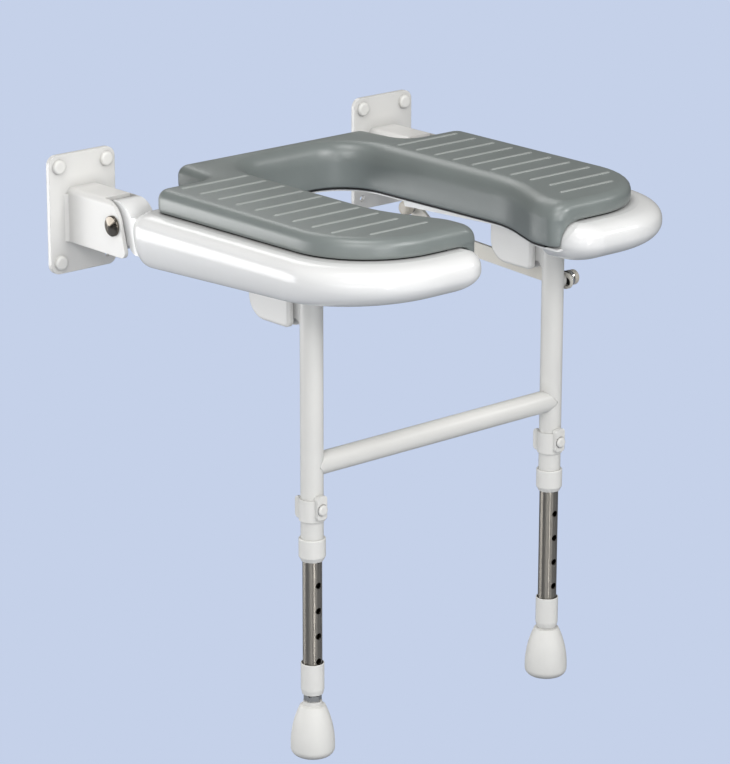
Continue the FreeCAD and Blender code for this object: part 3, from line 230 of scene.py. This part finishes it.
def corner(before, at, after, radius, steps):
    """Points of the arc that rounds one corner."""
    p, a, b = Vector(at), Vector(before), Vector(after)
    da, db = (a - p).normalized(), (b - p).normalized()
    half = math.acos(max(-1.0, min(1.0, da.dot(db)))) / 2
    centre = p + (da + db).normalized() * radius / math.sin(half)
    start = p + da * radius / math.tan(half) - centre
    end = p + db * radius / math.tan(half) - centre
    turn = math.atan2(start.x * end.y - start.y * end.x, start.dot(end))
    return [centre + Matrix.Rotation(turn * i / steps, 2) @ start for i in range(steps + 1)]


def rounded(points):
    """Closed loop through corners (x, u, radius)."""
    loop = []
    for i, (x, u, r) in enumerate(points):
        before, after = points[i - 1][:2], points[(i + 1) % len(points)][:2]
        loop += corner(before, (x, u), after, r, CORNER_STEPS)
    return loop


def seat_outline(grow, inset, tip, rear):
    """The pad's outline: grow moves the outer side, inset and rear the opening's walls."""
    half = [
        (NOTCH_X + grow, REAR - grow, max(REAR_R + grow, REAR_R_MIN)),
        (NOTCH_X + NOTCH_LEAN + grow, WING - grow, NOTCH_R - grow),
        (SIDE + grow, WING - grow, WING_R + grow),
        (SIDE + grow, FRONT + grow, FRONT_R + grow),
        (MOUTH + inset, FRONT + grow, tip),
        (MOUTH + inset, FRONT - MOUTH_DEPTH, MOUTH_R - inset),
        (WALL + inset, FRONT - THROAT_DEPTH, THROAT_R + inset),
        (WALL + inset, OPEN_REAR - rear, OPEN_REAR_R + inset),
    ]
    return half + [(-x, u, r) for x, u, r in reversed(half)]


def dense(points):
    """Loop with its long straight stretches near the tips split, where the feet need columns."""
    out = []
    for i, p in enumerate(points):
        q = points[(i + 1) % len(points)]
        out.append(p)
        inner = abs(p.x) < TIP_HALF_W and abs(q.x) < TIP_HALF_W
        near = inner and p.y > TIP_BACK and q.y > TIP_BACK and p.x * q.x > 0
        n = TIP_SPLITS if near and (q - p).length > TIP_LONG else 1
        out += [p.lerp(q, k / n) for k in range(1, n)]
    return out


def plan_at(out, inn):
    """The pad's outline drawn in by out at the outer side and by inn at the opening."""
    tip = max(TIP_R - out, TIP_R_MIN)
    return dense(rounded(seat_outline(-out, inn, tip, inn * OPEN_REAR_SHARE)))


# Pad: one closed skin with a rolled outer edge, a wide roll at the opening, a skirt along the
# opening and a foot that comes down in front of the base at each tip

def lifted(x, u, z):
    """Place in the scene of a pad point: the seam climbs towards the front, the top stays level."""
    part = min(1.0, (PAD_TOP - z) / (PAD_TOP - PAD_LOW))
    return Vector((x * MM, -u * MM, (z + RISE * (u - LEVEL_U) * part) * MM))


def roll(reach, z):
    """How far an edge roll of the given reach below the top draws in at height z."""
    low = PAD_TOP - reach
    rise = min(max((z - low) / (PAD_TOP - low), 0.0), 1.0)
    return reach * (1 - math.sqrt(max(0.0, 1 - rise * rise)))


def finish_mesh(name, bm, material):
    """Object from a bmesh, smooth shaded."""
    mesh = bpy.data.meshes.new(name)
    bmesh.ops.recalc_face_normals(bm, faces=bm.faces)
    bm.to_mesh(mesh)
    bm.free()
    for poly in mesh.polygons:
        poly.use_smooth = True
    obj = bpy.data.objects.new(name, mesh)
    bpy.context.scene.collection.objects.link(obj)
    paint(obj, material)
    return obj


def panel(bm, corners):
    """Face through vertices, leaving out neighbours that are the same vertex."""
    kept = [v for i, v in enumerate(corners) if v is not corners[i - 1]]
    if len(kept) > 2:
        bm.faces.new(kept)


def band(bm, lower, upper):
    """Faces between two closed rings of vertices."""
    for i in range(len(lower)):
        j = (i + 1) % len(lower)
        panel(bm, [lower[i], lower[j], upper[j], upper[i]])


def pad_levels():
    """Height, outer draw and inner draw of the pad's sections, from the seam up."""
    heights = [PAD_LOW] + [PAD_LOW + h for h in SEAM_HEIGHTS] + [WALL_MID, PAD_TOP - EDGE_ROLL]
    angles = [math.radians(a) for a in range(ROLL_STEP, 90, ROLL_STEP)]
    heights += [PAD_TOP - EDGE_ROLL * (1 - math.sin(a)) for a in angles] + [PAD_TOP]
    rows = []
    for k, z in enumerate(heights):
        out = roll(EDGE_ROLL, z)
        if k < len(SEAM_DRAW):
            out += SEAM_DRAW[k]
        rows.append((z, out, roll(INNER_ROLL, z)))
    return rows


def hem_height(x, u):
    """Lowest height of the pad's wall at a point of its outline."""
    x = abs(x)
    if x <= FOOT_X or (u < FRONT - FOOT_DEPTH and x < WALL + 1):
        return SKIRT_LOW
    if x >= FOOT_X + FOOT_R or u < FRONT - FOOT_DEPTH:
        return PAD_LOW
    return PAD_LOW - FOOT_DROP - FOOT_R + math.sqrt(FOOT_R ** 2 - (FOOT_X + FOOT_R - x) ** 2)


def behind(p, q, r):
    """Point on the skirt's hidden face behind a point q of the outline; p and r are its neighbours."""
    if q.y > FOOT_BACK - 1:
        return Vector((math.copysign(max(abs(q.x), FOOT_X), q.x), FOOT_BACK))
    along = (r - p).normalized()
    return q + Vector((-along.y, along.x)) * SKIRT_T


def hem_column(bm, top, q, back, hem):
    """Vertices of the skirt below one vertex of the seam: down the wall and round the hem."""
    column = [top]
    inward = (back - q).normalized() if (back - q).length > 0 else Vector((0, 0))
    reach = min(HEM_ROLL, (PAD_LOW - hem) / 2)
    for part in WALL_PARTS:
        column.append(bm.verts.new(lifted(q.x, q.y, PAD_LOW + (hem + reach - PAD_LOW) * part)))
    for degrees in HEM_ANGLES:
        a = math.radians(degrees)
        at = q + inward * reach * (1 - math.cos(a))
        column.append(bm.verts.new(lifted(at.x, at.y, hem + reach * (1 - math.sin(a)))))
    return column


def add_skirt(bm, seam, outline):
    """Skirt and tip feet below the seam, and the flat underside between them."""
    count = len(seam)
    hems = [hem_height(p.x, p.y) for p in outline]
    low = [i for i in range(count) if hems[i] < PAD_LOW - SAME_HEIGHT]
    first = next(i for i in low if (i - 1) % count not in low)
    run = [(first - 1 + k) % count for k in range(len(low) + 2)]
    wall = []
    hidden = []
    hidden_top = []
    for k, i in enumerate(run):
        q, hem = outline[i], hems[i]
        back = behind(outline[i - 1], q, outline[(i + 1) % count])
        if hem >= PAD_LOW - SAME_HEIGHT:
            wall.append([seam[i]] * COLUMN)
            hidden.append(bm.verts.new(lifted(back.x, back.y, PAD_LOW)))
            hidden_top.append(hidden[-1])
            continue
        wall.append(hem_column(bm, seam[i], q, back, hem))
        same = hidden and (hidden[-1].co.xy - Vector((back.x * MM, -back.y * MM))).length < 1e-6
        if same and abs(hem - SKIRT_LOW) < SAME_HEIGHT and hems[run[k - 1]] == hem:
            hidden.append(hidden[-1])
            hidden_top.append(hidden_top[-1])
        else:
            hidden.append(bm.verts.new(lifted(back.x, back.y, hem)))
            hidden_top.append(bm.verts.new(lifted(back.x, back.y, PAD_LOW)))
    for k in range(len(run) - 1):
        a, b = wall[k], wall[k + 1]
        for m in range(COLUMN - 1):
            panel(bm, [a[m], b[m], b[m + 1], a[m + 1]])
        panel(bm, [a[-1], b[-1], hidden[k + 1], hidden[k]])
        panel(bm, [hidden[k], hidden[k + 1], hidden_top[k + 1], hidden_top[k]])
    rest = [seam[(run[-1] + k) % count] for k in range(count - len(run) + 2)]
    line = []
    for v in hidden_top:
        if not line or line[-1] is not v:
            line.append(v)
    bm.faces.new(rest + line)


def pad_skin():
    """The closed skin of the foam pad."""
    bm = bmesh.new()
    rows = pad_levels()
    plans = [plan_at(out, inn) for z, out, inn in rows]
    rings = [[bm.verts.new(lifted(p.x, p.y, z)) for p in plan] for plan, (z, out, inn) in zip(plans, rows)]
    for lower, upper in zip(rings, rings[1:]):
        band(bm, lower, upper)
    inside = plan_at(rows[-1][1] + CROWN_INSET, rows[-1][2] + CROWN_INSET)
    crown = [bm.verts.new(lifted(p.x, p.y, PAD_TOP + CROWN)) for p in inside]
    band(bm, rings[-1], crown)
    bm.faces.new(crown)
    add_skirt(bm, rings[0], plans[0])
    bmesh.ops.triangulate(bm, faces=[f for f in bm.faces if len(f.verts) > 4])
    return finish_mesh("pad_skin", bm, PAD)


pad = pad_skin()


# Camera at the photograph's viewing angle

AZ, EL, ROLL = math.radians(41.196), math.radians(17.242), math.radians(0.089)
AIM = Vector((0.002, -0.2, -0.17227))
AWAY = 3.3985
forward = Vector((math.sin(AZ) * math.cos(EL), math.cos(AZ) * math.cos(EL), -math.sin(EL)))
side = Vector((math.cos(AZ), -math.sin(AZ), 0.0))
up = side.cross(forward)
right = side * math.cos(ROLL) + up * math.sin(ROLL)
above = up * math.cos(ROLL) - side * math.sin(ROLL)
turn = Matrix((right, above, -forward)).transposed()
lens = bpy.data.cameras.new("camera")
camera = bpy.data.objects.new("camera", lens)
bpy.context.scene.collection.objects.link(camera)
camera.matrix_world = Matrix.Translation(AIM - forward * AWAY) @ turn.to_4x4()
lens.sensor_width = 36.0
lens.lens = 160.44
lens.clip_end = 50.0
bpy.context.scene.camera = camera


# Pale floor, even backdrop and soft lights

BACKDROP = linear(197, 209, 233)
STUDIO = (0.17, 0.17, 0.168, 1.0)
FLOOR = linear(140, 145, 154)
FLOOR_PLACE = (0.0, -0.2, -0.4945)
FLOOR_HALF = 9.0

# Name, place, aim, power in watts, width and height of each lamp
LAMPS = (
    ("key", (-2.3, -1.9, 1.75), (0.0, -0.2, -0.1), 30, 1.1, 1.1),
    ("low_left", (-1.75, -1.35, -0.05), (0.0, -0.25, -0.02), 4.5, 1.6, 0.26),
    ("back_left", (-0.95, 0.9, -0.12), (0.05, -0.25, 0.0), 10, 1.1, 0.6),
    ("back", (0.9, 1.9, 1.9), (0.0, -0.2, 0.0), 11, 1.2, 1.2),
    ("top", (-0.7, -0.5, 2.4), (0.0, -0.2, 0.0), 19, 1.0, 1.0),
    ("strip", (-0.95, -2.4, 0.1), (0.0, -0.25, -0.1), 12, 0.14, 1.3),
    ("front", (0.2, -2.9, 1.5), (0.0, -0.2, -0.1), 36, 1.1, 1.1),
    ("right", (1.6, -1.5, 0.95), (0.0, -0.1, 0.0), 4, 0.35, 0.35),
)


def lamp(name, place, aim, power, wide, high):
    """Soft rectangular lamp that the camera doesn't see."""
    data = bpy.data.lights.new(name, "AREA")
    data.energy = power
    data.shape = "RECTANGLE"
    data.size = wide
    data.size_y = high
    obj = bpy.data.objects.new(name, data)
    bpy.context.scene.collection.objects.link(obj)
    obj.location = place
    obj.visible_camera = False
    obj.rotation_euler = (Vector(aim) - Vector(place)).to_track_quat("-Z", "Y").to_euler()


def backdrop_world():
    """Even backdrop for the camera and a dim studio for everything else."""
    world = bpy.data.worlds.new("studio")
    world.use_nodes = True
    nodes, links = world.node_tree.nodes, world.node_tree.links
    shade = nodes["Background"]
    path = nodes.new("ShaderNodeLightPath")
    mix = nodes.new("ShaderNodeMix")
    mix.data_type = "RGBA"
    mix.inputs["A"].default_value = STUDIO
    mix.inputs["B"].default_value = BACKDROP
    links.new(path.outputs["Is Camera Ray"], mix.inputs["Factor"])
    links.new(mix.outputs["Result"], shade.inputs["Color"])
    shade.inputs["Strength"].default_value = 1.0
    bpy.context.scene.world = world


def pale_floor():
    """Floor under the feet, in the backdrop's colour for the camera."""
    bm = bmesh.new()
    bmesh.ops.create_grid(bm, x_segments=8, y_segments=8, size=FLOOR_HALF)
    mesh = bpy.data.meshes.new("floor")
    bm.to_mesh(mesh)
    bm.free()
    floor = bpy.data.objects.new("floor", mesh)
    floor.location = FLOOR_PLACE
    bpy.context.scene.collection.objects.link(floor)
    m = bpy.data.materials.new("floor_pale")
    m.use_nodes = True
    nodes, links = m.node_tree.nodes, m.node_tree.links
    shader = nodes["Principled BSDF"]
    shader.inputs["Base Color"].default_value = FLOOR
    shader.inputs["Roughness"].default_value = 0.8
    glow = nodes.new("ShaderNodeEmission")
    glow.inputs["Color"].default_value = BACKDROP
    path = nodes.new("ShaderNodeLightPath")
    mix = nodes.new("ShaderNodeMixShader")
    links.new(path.outputs["Is Camera Ray"], mix.inputs["Fac"])
    links.new(shader.outputs["BSDF"], mix.inputs[1])
    links.new(glow.outputs["Emission"], mix.inputs[2])
    links.new(mix.outputs["Shader"], nodes["Material Output"].inputs["Surface"])
    floor.data.materials.append(m)


backdrop_world()
pale_floor()
for settings in LAMPS:
    lamp(*settings)

bpy.context.scene.view_settings.view_transform = "Standard"


# Raised bars on the pad

def raised_bar(bm, x0, x1, u):
    """One low rounded bar across the seat."""
    rows = []
    for i in range(BAR_STEPS + 1):
        x = x0 + (x1 - x0) * i / BAR_STEPS
        end = min(x - x0, x1 - x)
        fade = math.sin(min(end / BAR_FADE, 1.0) * math.pi / 2)
        half = BAR_HALF_W * (BAR_END_SHARE + (1 - BAR_END_SHARE) * fade)
        row = []
        for k in range(BAR_SIDES + 1):
            a = math.pi * k / BAR_SIDES
            high = PAD_TOP - BAR_SUNK + BAR_HIGH * math.sin(a) * fade
            row.append(bm.verts.new((x * MM, -(u + half * math.cos(a)) * MM, high * MM)))
        rows.append(row)
    for a, b in zip(rows, rows[1:]):
        for k in range(BAR_SIDES):
            bm.faces.new((a[k], a[k + 1], b[k + 1], b[k]))
    for a, b in zip(rows, rows[1:]):
        bm.faces.new((a[0], b[0], b[-1], a[-1]))
    bm.faces.new(rows[0])
    bm.faces.new(rows[-1])


def pad_bars():
    """The bars of both wings, shorter at the rounded front."""
    bm = bmesh.new()
    for k in range(BARS):
        u = BAR_FIRST + BAR_PITCH * k
        x0, x1 = LAST_BAR_ENDS if k == BARS - 1 else BAR_ENDS
        raised_bar(bm, x0, x1, u)
        raised_bar(bm, -x1, -x0, u)
    return finish_mesh("pad_bars", bm, BAR)


bars = pad_bars()
bpy.ops.object.select_all(action="DESELECT")
for piece in (pad, bars):
    piece.select_set(True)
bpy.context.view_layer.objects.active = pad
bpy.ops.object.join()
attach(pad, "seat")
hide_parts("seat_pad")
